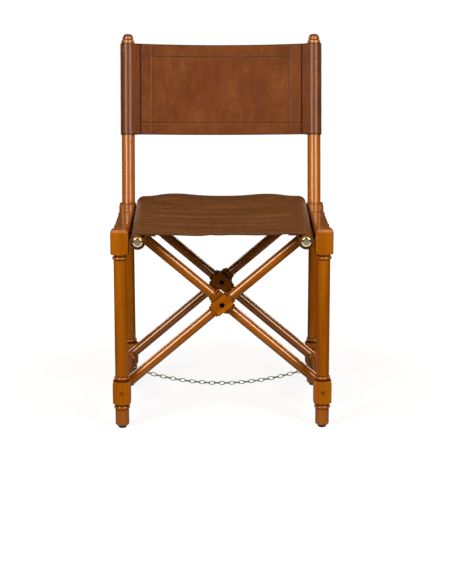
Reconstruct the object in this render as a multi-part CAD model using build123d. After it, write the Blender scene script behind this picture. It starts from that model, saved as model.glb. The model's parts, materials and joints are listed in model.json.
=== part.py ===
from build123d import *
import math
import os

os.makedirs("parts", exist_ok=True)

# Folding side chair: turned wood side frames, crossed bars, leather seat and back slings, brass chain.
# Millimetres, +Z up, the sitter faces -Y. While building, y = 0 is the front leg axis.

# overall layout
leg_x = 226.4              # leg axis, out from the middle plane
leg_span = 343.0           # front leg axis to back leg axis
rail_top = 457.0           # top of the side rails and of the square blocks under it
hinge_z = 84.0             # height of the lower stretchers that the bars turn on
total_height = 857.0       # top of the back posts
rod_drop = 22.265          # rail tops to the seat rod axis at the front bars
rod_clear = 2.7            # seat leather to the legs' blocks
bar_clear = 6.2            # front face of the outer front bar to the front legs' blocks

# clearances
glue_gap = 0.05            # glued wood joints, all round
turn_gap = 0.05            # turning fits, on the radius
slide_gap = 0.05           # faces that turn against each other
side_gap = 0.3             # spacer to the bar beside it
leather_gap = 0.2          # leather round wood
seam_gap = 0.3             # panel edges to their sleeves
hole_gap = 1.5             # holes in the leather for the bars

# legs
block_w = 39.6             # square blocks
upper_block_h = 56.5
lower_block_bottom = 57.0
lower_block_top = 109.5
column_r_low = 14.6
column_r_high = 14.3
foot_r = 15.6
foot_chamfer = 5.0
glide_r = 9.0
glide_h = 4.0
glide_ease = 1.2
bead_h = 7.2               # ring beads of the legs
bead_low_r = 18.3
bead_mid_r = 17.7
bead_high_r = 17.4
bead_neck_above = 3.2      # plain turning between a block and the bead above it
bead_neck_below = 4.8      # the same for a bead below its block
groove_w = 1.2             # groove turned beside each bead
groove_deep = 0.8
front_chamfer = 5.5        # round the top of a front leg, but not where the rail meets it
back_chamfer = 2.0         # the same on a back leg, clear of the post's foot
block_turn = 0.675         # radius of the lathe cut on a block's corners, as a share of its width
block_turn_ease = 8.5
disc_round = 0.46          # rounding of a ring bead, as a share of its height
plug_r = 4.0
plug_sink = 0.8            # countersink round a plug
plug_len = 8.0
plug_proud = 0.4
plug_ease = 0.35

# side rails
rail_w = 34.0
rail_in = 2.5              # rail's middle, in from the leg axis
rail_h = 34.0
rail_ease = 5.0
tenon_w = 22.0
tenon_h = 20.0
tenon_len = 14.0
rail_ring_proud = 0.9
rail_ring_len = 5.0
rail_ring_front = 40.0     # from the front block to the first ring
rail_ring_back = 108.0     # from the back block to the second ring

# back posts
post_in = 2.0              # post axis, in from the leg axis
post_r = 15.8
rake = 10.4                # degrees backward
post_tenon_r = 9.0
post_tenon_len = 26.0
finial_len = 12.5
finial_groove = 1.6
finial_r = 13.2
finial_neck_r = 11.4
finial_ease = 9.5
shoulder_ease = 3.0        # rounding of the post's top, under the finial

# lower stretchers
stretcher_r = 17.0
stretcher_ring_r = 19.0
stretcher_ring_len = 6.0
stretcher_ease = 3.0
pin_r = 8.0
pin_socket = 14.0

# crossed bars
bar_r = 11.5
bar_pack = 24.0            # thickness of a cross block, and the depth each bar takes
washer_t = 1.0
knuckle_r = 12.4
knuckle_ease = 1.5
knuckle_in = 0.5           # a knuckle's faces, in from its bar's block
spacer_ease = 1.0
cross_len = 45.0
cross_w = 31.0
cross_round = 2.2
cross_chamfer = 0.8
cross_bead_r = 14.8
cross_bead_len = 3.4
cross_space = 1.6          # bare bar between the cross block and its ring
bolt_r = 3.0
bolt_head_r = 5.0
bolt_head_h = 3.5
bolt_recess_r = 5.9
bolt_end = 1.5             # bolt past its nut
slot_size = (1.2, 7.0, 1.6)
nut_r = 4.9
bolt_recess = 6.0
washer_r = 11.0
bar_tenon_r = 6.5
bar_tenon_len = 10.0
bar_tenon_root = 6.0       # how far the tenon's shape reaches back into the bar
rear_bar_reach = 10.5      # how far the rear bars run out past the rod axis, under the rod

# seat rods and seat leather
rod_r = 15.1
rod_rise = 4.3             # degrees, the rods climb to the back
rod_front_y = -16.0
rod_back_y = leg_span - 5.5
cap_r = 11.9
cap_rim = 1.6
cap_dome = 4.4
cap_stem_r = 3.0
cap_stem = 12.0
hide_t = 2.5               # leather thickness
seat_sag_front = 5.0
seat_sag_back = 1.5
screw_r = 2.2
screw_head_r = 4.5
screw_head_h = 2.6
screw_bite = 14.0
screw_sink = 1.0           # screw head above the lowest point of the bar's flank

# back leather
back_top_drop = 23.0       # post tops to the top of the leather
back_drop = 214.0          # from there to its lower edge
back_hide = 2.2
back_tail = 30.0           # post axis to the stitched edge of the sleeve
tail_half = 2.9            # half the thickness of the stitched edge
tail_slit = 0.4            # half the slit between its two plies
tail_seam = 3.0            # from the edge to the end of the slit
back_dip = 3.5
back_panel_t = 3.6
border_w = 27.5
border_t = 1.0
border_inset = 0.6         # panel edge to the edge of its facing

# chain
link_wire = 0.9            # radius
link_long = 15.4
link_wide = 9.2
link_play = 0.12           # between two links pulled straight
link_count = 35
eye_r = 4.2
eye_wire = 1.0
eye_stem = 14.0
eye_up = 4.0               # eye above the stretcher axis
eye_clear = 1.5            # ring of the eye to the stretcher
eye_root = 0.3             # how far the stem's shape reaches into the ring
tip_clear = 0.15           # eye to the end link
link_pitch = link_long - 4 * link_wire - link_play
stretch_mid = leg_span / 2
post_x = leg_x - post_in
back_high_z = total_height - back_top_drop
back_low_z = back_high_z - back_drop
sleeve_out = rod_r + leather_gap + hide_t
rod_x = leg_x - block_w / 2 - rod_clear - sleeve_out
first_bar_y = block_w / 2 + bar_clear
# each bar runs straight from its stretcher through the crossing to its rod
pivot_z = (rail_top - rod_drop + rod_x * hinge_z / leg_x) / (1 + rod_x / leg_x)
beyond = 60.0              # how far cutting shapes run past what they cut

sides = (("left", -1), ("right", 1))
MINZ = (Align.CENTER, Align.CENTER, Align.MIN)


def rounded_disc(radius, height):
    disc = Cylinder(radius, height)
    return fillet(disc.edges().filter_by(GeomType.CIRCLE), height * disc_round)


def eased_pin(radius, length, ease):
    # pin up the z axis with its lower rim rounded
    pin = Cylinder(radius, length, align=MINZ)
    return fillet(pin.edges().filter_by(GeomType.CIRCLE).sort_by(Axis.Z)[0], ease)


def along_y(shape):
    # turns a shape built on +Z to point along +Y
    return Rot(-90, 0, 0) * shape


def squared_block(bottom, top, soft_bottom, soft_top, top_chamfer=0.0):
    # square block with the corners eased on the lathe
    height = top - bottom
    block = Pos(0, 0, bottom) * Box(block_w, block_w, height, align=MINZ)
    if top_chamfer:
        # the edge toward +Y stays square, because the rail meets it
        block = chamfer(block.faces().sort_by(Axis.Z)[-1].edges().sort_by(Axis.Y)[:3], top_chamfer)
    lathe = Pos(0, 0, bottom) * Cylinder(block_w * block_turn, height, align=MINZ)
    rims = lathe.edges().filter_by(GeomType.CIRCLE).sort_by(Axis.Z)
    soft = []
    if soft_bottom:
        soft.append(rims[0])
    if soft_top:
        soft.append(rims[-1])
    if soft:
        lathe = fillet(soft, block_turn_ease)
    return block & lathe


def turned_groove(floor_r, width):
    # ring that cuts a groove round a turned shape on the z axis, down to this radius
    return Cylinder(floor_r + beyond, width) - Cylinder(floor_r, width)


upper_block_bottom = rail_top - upper_block_h
post_dir = Vector(0, math.sin(math.radians(rake)), math.cos(math.radians(rake)))
post_len = (total_height - rail_top) / post_dir.Z


def post_plane(side, height):
    # plane across a post where its axis is at this height, x across the chair
    s = (height - rail_top) / post_dir.Z
    origin = Vector(side * post_x, leg_span, rail_top) + post_dir * s
    return Plane(origin=origin, x_dir=(1, 0, 0), z_dir=post_dir)


def post_socket():
    depth = post_tenon_len + glue_gap
    return Pos(0, 0, -depth) * Cylinder(post_tenon_r + glue_gap, depth + beyond, align=MINZ)


def make_leg(top_chamfer):
    # one turned leg on the z axis, its rail and stretcher holes open toward +Y
    foot = [(0, glide_h), (foot_r - foot_chamfer, glide_h), (foot_r, glide_h + foot_chamfer),
            (foot_r, lower_block_bottom), (0, lower_block_bottom)]
    column = [(0, lower_block_top), (column_r_low, lower_block_top),
              (column_r_high, upper_block_bottom), (0, upper_block_bottom)]
    leg = revolve(Plane.XZ * make_face(Polyline(*foot, close=True)), Axis.Z)
    leg += revolve(Plane.XZ * make_face(Polyline(*column, close=True)), Axis.Z)
    beads = ((lower_block_bottom, -1, bead_neck_below, bead_low_r, foot_r),
             (lower_block_top, 1, bead_neck_above, bead_mid_r, column_r_low),
             (upper_block_bottom, -1, bead_neck_below, bead_high_r, column_r_high))
    for block_end, away, neck, radius, shaft_r in beads:
        z = block_end + away * (neck + bead_h / 2)
        groove = turned_groove(shaft_r - groove_deep, groove_w)
        leg -= Pos(0, 0, z + away * (bead_h + groove_w) / 2) * groove
        leg += Pos(0, 0, z) * rounded_disc(radius, bead_h)
    leg += squared_block(lower_block_bottom, lower_block_top, True, True)
    leg += squared_block(upper_block_bottom, rail_top, True, True, top_chamfer)
    mortise = Box(tenon_w + 2 * glue_gap, tenon_len + glue_gap, tenon_h + 2 * glue_gap,
                  align=(Align.CENTER, Align.MAX, Align.CENTER))
    leg -= Pos(0, block_w / 2, rail_top - rail_h / 2) * mortise
    socket = Cylinder(pin_r + glue_gap, pin_socket + glue_gap, align=MINZ)
    leg -= Pos(0, block_w / 2 - pin_socket - glue_gap, hinge_z) * along_y(socket)
    hole = Cylinder(plug_r, plug_len - plug_proud, align=MINZ)
    hole += Cone(plug_r + plug_sink, plug_r, plug_sink, align=MINZ)
    leg -= Pos(0, -block_w / 2, hinge_z) * along_y(hole)
    return leg


def make_rail(side):
    # side rail between the two blocks, its tenons on the leg axis at x = 0
    length = leg_span - block_w
    rail = Box(rail_w, length, rail_h)
    rail = fillet(rail.edges().filter_by(Axis.Y), rail_ease)
    for y in (rail_ring_front - length / 2, length / 2 - rail_ring_back):
        ring = Box(rail_w + 2 * rail_ring_proud, rail_ring_len, rail_h + 2 * rail_ring_proud)
        ring = fillet(ring.edges().filter_by(Axis.Y), rail_ease)
        ends = ring.faces().sort_by(Axis.Y)
        ring = fillet(ends[0].edges() + ends[-1].edges(), rail_ring_proud * 0.6)
        core = Box(rail_w - 2 * groove_deep, groove_w, rail_h - 2 * groove_deep)
        core = fillet(core.edges().filter_by(Axis.Y), rail_ease - groove_deep)
        groove = Box(rail_w + beyond, groove_w, rail_h + beyond) - core
        for end in (-1, 1):
            rail -= Pos(0, y + end * (rail_ring_len + groove_w) / 2, 0) * groove
        rail += Pos(0, y, 0) * ring
    rail = Pos(-side * rail_in, 0, 0) * rail
    rail += Box(tenon_w, length + 2 * tenon_len, tenon_h)
    return Pos(0, leg_span / 2, rail_top - rail_h / 2) * rail


def make_post(side):
    base = post_plane(side, rail_top)
    shaft_len = post_len - finial_len
    root = post_r * math.tan(math.radians(rake)) + 1
    shaft = Cylinder(post_r, shaft_len + root - finial_groove, align=MINZ)
    shaft = fillet(shaft.edges().filter_by(GeomType.CIRCLE).sort_by(Axis.Z)[-1], shoulder_ease)
    shaft = base * (Pos(0, 0, -root) * shaft)
    post = split(shaft, Plane(origin=(0, 0, rail_top), z_dir=(0, 0, 1)), keep=Keep.TOP)
    neck = Cylinder(finial_neck_r, finial_groove + 2, align=MINZ)
    neck = Pos(0, 0, shaft_len - finial_groove - 1) * neck
    knob = Pos(0, 0, shaft_len) * Cylinder(finial_r, finial_len, align=MINZ)
    knob = fillet(knob.edges().filter_by(GeomType.CIRCLE).sort_by(Axis.Z)[-1], finial_ease)
    post += base * neck
    post += base * knob
    tenon = Cylinder(post_tenon_r, post_tenon_len + post_r, align=MINZ)
    post += base * (Pos(0, 0, -post_tenon_len) * tenon)
    return post


eye_x = leg_x - stretcher_r - eye_clear - eye_r
eye_z = hinge_z + eye_up


def eye_stem_solid(side):
    # threaded stem of a chain eye, which also cuts its own hole in the stretcher
    stem = Cylinder(eye_wire, eye_stem, align=MINZ)
    return Pos(side * (eye_x + eye_r - eye_root), stretch_mid, eye_z) * (Rot(0, side * 90, 0) * stem)


def make_stretcher(side, shoulder_y):
    # turned stretcher, its thin pin ends carry the bars and sit in the leg blocks
    mid_len = leg_span - 2 * shoulder_y
    body = along_y(Cylinder(stretcher_r, mid_len))
    body = fillet(body.edges().filter_by(GeomType.CIRCLE), stretcher_ease)
    for part in (-0.25, 0.25):
        body += Pos(0, part * leg_span, 0) * along_y(rounded_disc(stretcher_ring_r, stretcher_ring_len))
    pin_len = leg_span - block_w + 2 * pin_socket
    body += along_y(Cylinder(pin_r, pin_len))
    body = Pos(side * leg_x, leg_span / 2, hinge_z) * body
    return body - eye_stem_solid(side)


# bars: front planes first, the outer frame is a, the inner frame is b
a_y = first_bar_y + bar_pack / 2
b_y = first_bar_y + bar_pack * 1.5 + washer_t
bar_planes = {"a": (a_y, leg_span - a_y), "b": (b_y, leg_span - b_y)}
bar_angle = math.degrees(math.atan2(pivot_z - hinge_z, leg_x))
rod_ref_z = pivot_z + rod_x * math.tan(math.radians(bar_angle))


def rod_z(y):
    # height of the rod axis, which meets the bar axis at the outer front bar
    return rod_ref_z + (y - a_y) * math.tan(math.radians(rod_rise))


def rod_plane(side, y):
    up = math.radians(rod_rise)
    return Plane(origin=(side * rod_x, y, rod_z(y)), x_dir=(-side, 0, 0),
                 z_dir=(0, math.cos(up), math.sin(up)))


def rod_solid(side, radius, extra=0.0):
    length = (rod_back_y - rod_front_y) / math.cos(math.radians(rod_rise))
    rod = Cylinder(radius, length + 2 * extra, align=MINZ)
    return rod_plane(side, rod_front_y) * (Pos(0, 0, -extra) * rod)


def bar_axis(side):
    # plane at the crossing with its z axis running up the bar toward the rod on this side
    a = math.radians(bar_angle)
    return Vector(side * math.cos(a), 0, math.sin(a))


def bar_cylinder(side, y, radius, start, end):
    # round length of bar between two distances from the crossing
    direction = bar_axis(side)
    plane = Plane(origin=Vector(0, y, pivot_z) + direction * start, x_dir=(0, 1, 0), z_dir=direction)
    return plane * Cylinder(radius, end - start, align=MINZ)


lower_reach = leg_x / math.cos(math.radians(bar_angle))
upper_reach = rod_x / math.cos(math.radians(bar_angle))
rear_reach = (rod_x + rear_bar_reach) / math.cos(math.radians(bar_angle))


def beyond_rod(side, y, x):
    # everything further out than this, for trimming the upper end of a bar
    return Pos(side * (x + beyond / 2), y, rod_ref_z) * Box(beyond, beyond, 2 * beyond)


def make_bar(side, y, outer):
    front = y < leg_span / 2
    top = upper_reach if front else rear_reach
    bar = bar_cylinder(side, y, bar_r, -lower_reach, top)
    direction = bar_axis(side)
    at = Plane(origin=Vector(0, y, pivot_z), x_dir=direction, z_dir=(0, 1, 0))
    block = Box(cross_len, cross_w, bar_pack)
    block = fillet(block.edges().filter_by(Axis.Z), cross_round)
    ends = block.faces().sort_by(Axis.Z)
    block = chamfer(ends[0].edges() + ends[-1].edges(), cross_chamfer)
    bar += at * block
    for end in (-1, 1):
        middle = end * (cross_len / 2 + cross_space + cross_bead_len / 2)
        place = Plane(origin=Vector(0, y, pivot_z) + direction * middle, x_dir=(0, 1, 0), z_dir=direction)
        outward = Pos(0, 0, end * (cross_bead_len + groove_w) / 2)
        bar -= place * outward * turned_groove(bar_r - groove_deep, groove_w)
        ring = place * rounded_disc(cross_bead_r, cross_bead_len)
        bar += ring & Pos(0, y, pivot_z) * Box(2 * cross_len, bar_pack, 2 * cross_len)
    knuckle = along_y(Cylinder(knuckle_r, bar_pack - 2 * knuckle_in))
    knuckle = fillet(knuckle.edges().filter_by(GeomType.CIRCLE), knuckle_ease)
    bar += Pos(-side * leg_x, y, hinge_z) * knuckle
    bar -= Pos(-side * leg_x, y, hinge_z) * along_y(Cylinder(pin_r + turn_gap, bar_pack * 2))
    # the rod lies in a hollow cut across the top of the bar
    bar -= rod_solid(side, rod_r + glue_gap, beyond)
    if front:
        bar -= beyond_rod(side, y, rod_x)
        root = upper_reach - rod_r
        bar += bar_cylinder(side, y, bar_tenon_r, root - bar_tenon_root, root + bar_tenon_len)
    else:
        bar -= beyond_rod(side, y, rod_x + rear_bar_reach)
    # bolt hole and the recess for the head or the nut on the outer face
    fit = glue_gap if outer else turn_gap
    bar -= Pos(0, y, pivot_z) * along_y(Cylinder(bolt_r + fit, bar_pack * 2))
    face = -1 if front == outer else 1
    recess = along_y(Cylinder(bolt_recess_r, bolt_recess))
    bar -= Pos(0, y + face * (bar_pack - bolt_recess) / 2, pivot_z) * recess
    return bar


def rod_screw_parts(side, y):
    # screw straight up through the rear bar into the rod
    slope = math.radians(bar_angle)
    under = rod_ref_z - bar_r / math.cos(slope)
    seat_z = under + screw_head_r * math.tan(slope) + screw_sink
    length = rod_z(y) - rod_r - seat_z + screw_bite
    place = Pos(side * rod_x, y, seat_z)
    shank = place * Cylinder(screw_r, length, align=MINZ)
    head = place * (Pos(0, 0, -screw_head_h) * Cylinder(screw_head_r, screw_head_h, align=MINZ))
    pocket = place * (Pos(0, 0, -beyond) * Cylinder(screw_head_r + glue_gap, beyond, align=MINZ))
    return shank, head, pocket


def make_sleeve(side):
    # leather round the rod: over the top, down the outside, under, and up the inside to the seat
    inner_r = rod_r + leather_gap
    outer = Circle(sleeve_out) + Rectangle(sleeve_out, sleeve_out, align=(Align.MIN, Align.MIN))
    inner = Circle(inner_r) + Rectangle(inner_r, inner_r, align=(Align.MIN, Align.MIN))
    turn = rod_plane(side, rod_front_y)
    # local y of the rod plane points down on one side, so the corner is mirrored there
    profile = outer - inner
    if turn.y_dir.Z < 0:
        profile = mirror(profile, Plane.XZ)
    length = (rod_back_y - rod_front_y) / math.cos(math.radians(rod_rise))
    return turn * extrude(profile, length)


seat_edge_x = rod_x - sleeve_out - seam_gap


def seat_section(y, sag):
    # slice across the seat panel, square to the rods
    up = math.radians(rod_rise)
    plane = Plane(origin=(0, y, rod_z(y)), x_dir=(1, 0, 0), z_dir=(0, -math.cos(up), -math.sin(up)))
    top = sleeve_out
    low = sleeve_out - hide_t
    wire = Wire([
        ThreePointArc((-seat_edge_x, top), (0, top - sag), (seat_edge_x, top)).edge(),
        Line((seat_edge_x, top), (seat_edge_x, low)).edge(),
        ThreePointArc((seat_edge_x, low), (0, low - sag), (-seat_edge_x, low)).edge(),
        Line((-seat_edge_x, low), (-seat_edge_x, top)).edge(),
    ])
    return plane * Face(wire)


def hull_with_tail(radius, tail, half):
    ring = Circle(radius)
    tip = Pos(tail - half, 0) * Circle(half)
    return make_hull(ring.edges() + tip.edges())


def make_back_sleeve(side):
    outer = hull_with_tail(post_r + leather_gap + back_hide, back_tail, tail_half)
    inner = hull_with_tail(post_r + leather_gap, back_tail - tail_seam, tail_slit)
    profile = outer - inner
    if side > 0:
        profile = mirror(profile, Plane.YZ)
    length = (back_high_z - back_low_z) / post_dir.Z
    return post_plane(side, back_low_z) * extrude(profile, length)


def back_face_plane():
    s = (back_low_z - rail_top) / post_dir.Z
    origin = Vector(0, leg_span, rail_top) + post_dir * s
    return Plane(origin=origin, x_dir=(1, 0, 0), z_dir=Vector(1, 0, 0).cross(post_dir))


def make_back_panel():
    half = post_x - back_tail - seam_gap
    height = (back_high_z - back_low_z) / post_dir.Z
    wire = Wire([
        Line((-half, 0), (half, 0)).edge(),
        Line((half, 0), (half, height)).edge(),
        ThreePointArc((half, height), (0, height - back_dip), (-half, height)).edge(),
        Line((-half, height), (-half, 0)).edge(),
    ])
    return back_face_plane() * extrude(Face(wire), back_panel_t / 2, both=True)


def make_back_border():
    # thin stitched facing round the front of the panel
    half = post_x - back_tail - seam_gap - border_inset
    height = (back_high_z - back_low_z) / post_dir.Z
    top = height - border_inset
    outer = Wire([
        Line((-half, border_inset), (half, border_inset)).edge(),
        Line((half, border_inset), (half, top)).edge(),
        ThreePointArc((half, top), (0, top - back_dip), (-half, top)).edge(),
        Line((-half, top), (-half, border_inset)).edge(),
    ])
    face = Face(outer)
    window = Rectangle(2 * (half - border_w), height - 2 * border_w - back_dip)
    face = face - Pos(0, height / 2 - back_dip / 2) * window
    return back_face_plane() * (Pos(0, 0, back_panel_t / 2) * extrude(face, border_t))


def make_link():
    straight = link_long - link_wide
    turn = link_wide / 2 - link_wire
    path = Wire([
        Line((-straight / 2, turn), (straight / 2, turn)).edge(),
        ThreePointArc((straight / 2, turn), (straight / 2 + turn, 0), (straight / 2, -turn)).edge(),
        Line((straight / 2, -turn), (-straight / 2, -turn)).edge(),
        ThreePointArc((-straight / 2, -turn), (-straight / 2 - turn, 0), (-straight / 2, turn)).edge(),
    ])
    start = Plane(origin=(-straight / 2, turn, 0), x_dir=(0, 0, 1), z_dir=(1, 0, 0))
    return sweep(start * Circle(link_wire), path=path)


link_reach = link_long / 2 - link_wire
link_tip_x = eye_x - eye_r + eye_wire + link_wire + tip_clear


def chain_sag_size():
    # size of the hanging curve that brings the tips of the end links into the eyes
    half_len = link_pitch * (link_count - 1) / 2
    low = half_len * 0.3
    high = half_len * 30
    for _ in range(60):
        size = (low + high) / 2
        tip = size * math.asinh(half_len / size) + link_reach * math.cos(math.atan2(half_len, size))
        if tip > link_tip_x:
            high = size
        else:
            low = size
    return size, half_len


def make_chain():
    size, half_len = chain_sag_size()
    link = make_link()
    drop = math.sqrt(size * size + half_len * half_len) - size
    drop += link_reach * math.sin(math.atan2(half_len, size))
    links = []
    for number in range(link_count):
        s = -half_len + number * link_pitch
        x = size * math.asinh(s / size)
        z = math.sqrt(size * size + s * s) - size
        slope = math.degrees(math.atan2(s, size))
        twist = 0 if number % 2 == 0 else 90
        place = Pos(x, stretch_mid, eye_z - drop + z) * Rot(0, -slope, 0) * Rot(twist, 0, 0)
        links.append(place * link)
    return Compound(children=links)


def make_eye(side):
    ring = Pos(side * eye_x, stretch_mid, eye_z) * (Rot(90, 0, 0) * Torus(eye_r, eye_wire))
    return ring + eye_stem_solid(side)


nodes = {}

front_leg_shape = make_leg(front_chamfer)
back_leg_shape = Rot(0, 0, 180) * make_leg(back_chamfer)
glide_shape = eased_pin(glide_r, glide_h, glide_ease)
plug_shape = along_y(eased_pin(plug_r, plug_len, plug_ease))

shoulders = {"left": a_y + bar_pack / 2 + knuckle_in, "right": b_y + bar_pack / 2 + knuckle_in}
knuckle_half = bar_pack / 2 - knuckle_in

for name, side in sides:
    x = side * leg_x
    nodes["front_leg_" + name] = Pos(x, 0, 0) * front_leg_shape
    # the post's tenon runs down past the end of the rail's tenon and locks it
    socket = post_plane(side, rail_top) * post_socket()
    nodes["back_leg_" + name] = Pos(x, leg_span, 0) * back_leg_shape - socket
    nodes["side_rail_" + name] = Pos(x, 0, 0) * make_rail(side) - socket
    nodes["back_post_" + name] = make_post(side)
    nodes["stretcher_" + name] = make_stretcher(side, shoulders[name])
    spacer_y = (a_y if name == "left" else b_y) - knuckle_half - side_gap
    spacer_len = spacer_y - block_w / 2
    bore = Cylinder(pin_r + glue_gap, spacer_len, align=MINZ)
    spacer = Cylinder(knuckle_r, spacer_len, align=MINZ) - bore
    spacer = fillet(spacer.edges().filter_by(GeomType.CIRCLE).sort_by(SortBy.RADIUS)[-2:], spacer_ease)
    nodes["spacer_front_" + name] = Pos(x, block_w / 2, hinge_z) * along_y(spacer)
    nodes["spacer_back_" + name] = Pos(x, leg_span - spacer_y, hinge_z) * along_y(spacer)
    for end, y, turn in (("front", 0, 0), ("back", leg_span, 180)):
        nodes["glide_" + end + "_" + name] = Pos(x, y, 0) * glide_shape
        plug = Pos(0, -block_w / 2 - plug_proud, hinge_z) * plug_shape
        nodes["plug_" + end + "_" + name] = Pos(x, y, 0) * (Rot(0, 0, turn) * plug)
    nodes["back_sleeve_" + name] = make_back_sleeve(side)
    nodes["chain_eye_" + name] = make_eye(side)

for frame, side, name in (("a", 1, "right"), ("b", -1, "left")):
    rod = rod_solid(side, rod_r)
    sleeve = make_sleeve(side)
    for end, y in zip(("front", "back"), bar_planes[frame]):
        bar = make_bar(side, y, frame == "a")
        if end == "front":
            root = upper_reach - rod_r
            socket_end = root + bar_tenon_len + glue_gap
            rod -= bar_cylinder(side, y, bar_tenon_r + glue_gap, root - bar_tenon_root, socket_end)
            sleeve -= bar_cylinder(side, y, bar_r + hole_gap, cross_len, upper_reach)
        else:
            shank, head, pocket = rod_screw_parts(side, y)
            bar -= shank + pocket
            rod -= shank
            sleeve -= bar_cylinder(side, y, bar_r + hole_gap, cross_len, rear_reach + hole_gap)
            nodes["rod_screw_" + name] = shank + head
        nodes["bar_" + frame + "_" + end] = bar
    up = math.radians(rod_rise)
    for end, y, out in (("front", rod_front_y, -1), ("back", rod_back_y, 1)):
        plane = Plane(origin=(side * rod_x, y, rod_z(y)), x_dir=(1, 0, 0),
                      z_dir=(0, out * math.cos(up), out * math.sin(up)))
        cap = Cylinder(cap_r, cap_rim + cap_dome, align=MINZ)
        cap = fillet(cap.edges().filter_by(GeomType.CIRCLE).sort_by(Axis.Z)[-1], cap_dome)
        cap += Pos(0, 0, -cap_stem) * Cylinder(cap_stem_r, cap_stem + 1, align=MINZ)
        nodes["cap_" + end + "_" + name] = plane * cap
        stem_hole = Cylinder(cap_stem_r + glue_gap, cap_stem + 1, align=MINZ)
        rod -= plane * (Pos(0, 0, -cap_stem - glue_gap) * stem_hole)
    nodes["seat_rod_" + name] = rod
    nodes["seat_sleeve_" + name] = sleeve

for end, mirror_y in (("front", 1), ("back", -1)):
    head_y = first_bar_y + bolt_recess
    nut_y = b_y + bar_pack / 2 - bolt_recess + slide_gap
    y0 = head_y if mirror_y > 0 else leg_span - head_y
    shaft = Cylinder(bolt_r, nut_y - head_y + bolt_head_h + bolt_end, align=MINZ)
    shaft += Pos(0, 0, -bolt_head_h) * Cylinder(bolt_head_r, bolt_head_h, align=MINZ)
    shaft -= Pos(0, 0, -bolt_head_h) * Box(*slot_size, align=MINZ)
    nut = extrude(RegularPolygon(nut_r, 6), bolt_head_h) - Cylinder(bolt_r, beyond)
    nut = Pos(0, 0, nut_y - head_y) * nut
    ring = Cylinder(washer_r, washer_t - slide_gap, align=MINZ) - Cylinder(bolt_r + glue_gap, beyond)
    ring = Pos(0, 0, a_y + bar_pack / 2 - head_y) * ring
    for label, shape in (("pivot_bolt_", shaft), ("pivot_nut_", nut), ("pivot_washer_", ring)):
        turned = along_y(shape) if mirror_y > 0 else Rot(90, 0, 0) * shape
        nodes[label + end] = Pos(0, y0, pivot_z) * turned

front_face = seat_section(rod_front_y, seat_sag_front)
middle_face = seat_section((rod_front_y + rod_back_y) / 2, (seat_sag_front + seat_sag_back) / 2)
back_face = seat_section(rod_back_y, seat_sag_back)
nodes["seat_panel"] = loft([front_face, middle_face, back_face], ruled=True)
nodes["back_panel"] = make_back_panel()
nodes["back_border"] = make_back_border()
nodes["chain"] = make_chain()

# the shared origin is the middle of the footprint of the whole chair, on the floor
boxes = [shape.bounding_box() for shape in nodes.values()]
front = min(b.min.Y for b in boxes)
back = max(b.max.Y for b in boxes)
shift = -(front + back) / 2
top = max(b.max.Z for b in boxes)
print("shift y", round(shift, 3), "depth", round(back - front, 2), "height", round(top, 2))
for name, shape in nodes.items():
    solids = Compound([solid.moved(Pos(0, shift, 0)) for solid in shape.solids()])
    print(name, len(shape.solids()), round(solids.volume))
    export_step(solids if len(shape.solids()) > 1 else solids.solids()[0], "parts/" + name + ".step")
print(len(nodes), "nodes")
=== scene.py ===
import json
import math

import bpy
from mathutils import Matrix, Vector


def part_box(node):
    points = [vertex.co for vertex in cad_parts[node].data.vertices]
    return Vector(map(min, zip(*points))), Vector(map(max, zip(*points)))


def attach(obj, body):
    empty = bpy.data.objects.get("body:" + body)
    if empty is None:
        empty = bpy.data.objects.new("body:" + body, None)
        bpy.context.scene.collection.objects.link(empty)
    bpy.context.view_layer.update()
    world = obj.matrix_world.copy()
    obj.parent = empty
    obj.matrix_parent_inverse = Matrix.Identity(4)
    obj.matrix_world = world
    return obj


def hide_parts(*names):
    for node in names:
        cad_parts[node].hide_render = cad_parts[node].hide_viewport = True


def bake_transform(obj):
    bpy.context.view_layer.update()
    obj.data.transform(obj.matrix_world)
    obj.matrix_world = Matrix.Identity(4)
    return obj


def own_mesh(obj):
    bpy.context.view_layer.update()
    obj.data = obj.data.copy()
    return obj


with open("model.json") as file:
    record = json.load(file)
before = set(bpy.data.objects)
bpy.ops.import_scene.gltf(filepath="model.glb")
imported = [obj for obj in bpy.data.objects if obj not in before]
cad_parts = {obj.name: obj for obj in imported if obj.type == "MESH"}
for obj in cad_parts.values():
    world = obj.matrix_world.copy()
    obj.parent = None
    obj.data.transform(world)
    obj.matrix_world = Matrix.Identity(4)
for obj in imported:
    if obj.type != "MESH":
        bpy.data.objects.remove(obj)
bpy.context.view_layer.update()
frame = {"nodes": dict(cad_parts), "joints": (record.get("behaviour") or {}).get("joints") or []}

NODES = frame["nodes"]
SIDES = (("left", -1), ("right", 1))

# places read from the frame, in metres
cap_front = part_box("cap_front_right")
cap_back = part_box("cap_back_right")
ROD_X = (cap_front[0].x + cap_front[1].x) / 2
ROD_FRONT_Z = (cap_front[0].z + cap_front[1].z) / 2
ROD_BACK_Z = (cap_back[0].z + cap_back[1].z) / 2
SEAT_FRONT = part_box("seat_rod_right")[0].y
SEAT_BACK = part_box("seat_rod_right")[1].y
ROD_RISE = math.atan2(ROD_BACK_Z - ROD_FRONT_Z, SEAT_BACK - SEAT_FRONT)
LEG_X = (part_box("front_leg_right")[0].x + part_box("front_leg_right")[1].x) / 2
FRONT_LEG_Y = (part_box("front_leg_right")[0].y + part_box("front_leg_right")[1].y) / 2
BACK_LEG_Y = (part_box("back_leg_right")[0].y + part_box("back_leg_right")[1].y) / 2
POST_X = (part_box("back_post_right")[0].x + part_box("back_post_right")[1].x) / 2
RAIL_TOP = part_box("front_leg_right")[1].z
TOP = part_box("back_post_right")[1].z
BACK_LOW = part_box("back_panel")[0].z
BACK_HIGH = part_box("back_panel")[1].z
PIVOT = Vector([j for j in frame["joints"] if j["name"] == "scissor"][0]["pos_m"])
FOLD = [j for j in frame["joints"] if j["name"] == "fold"][0]
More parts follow.
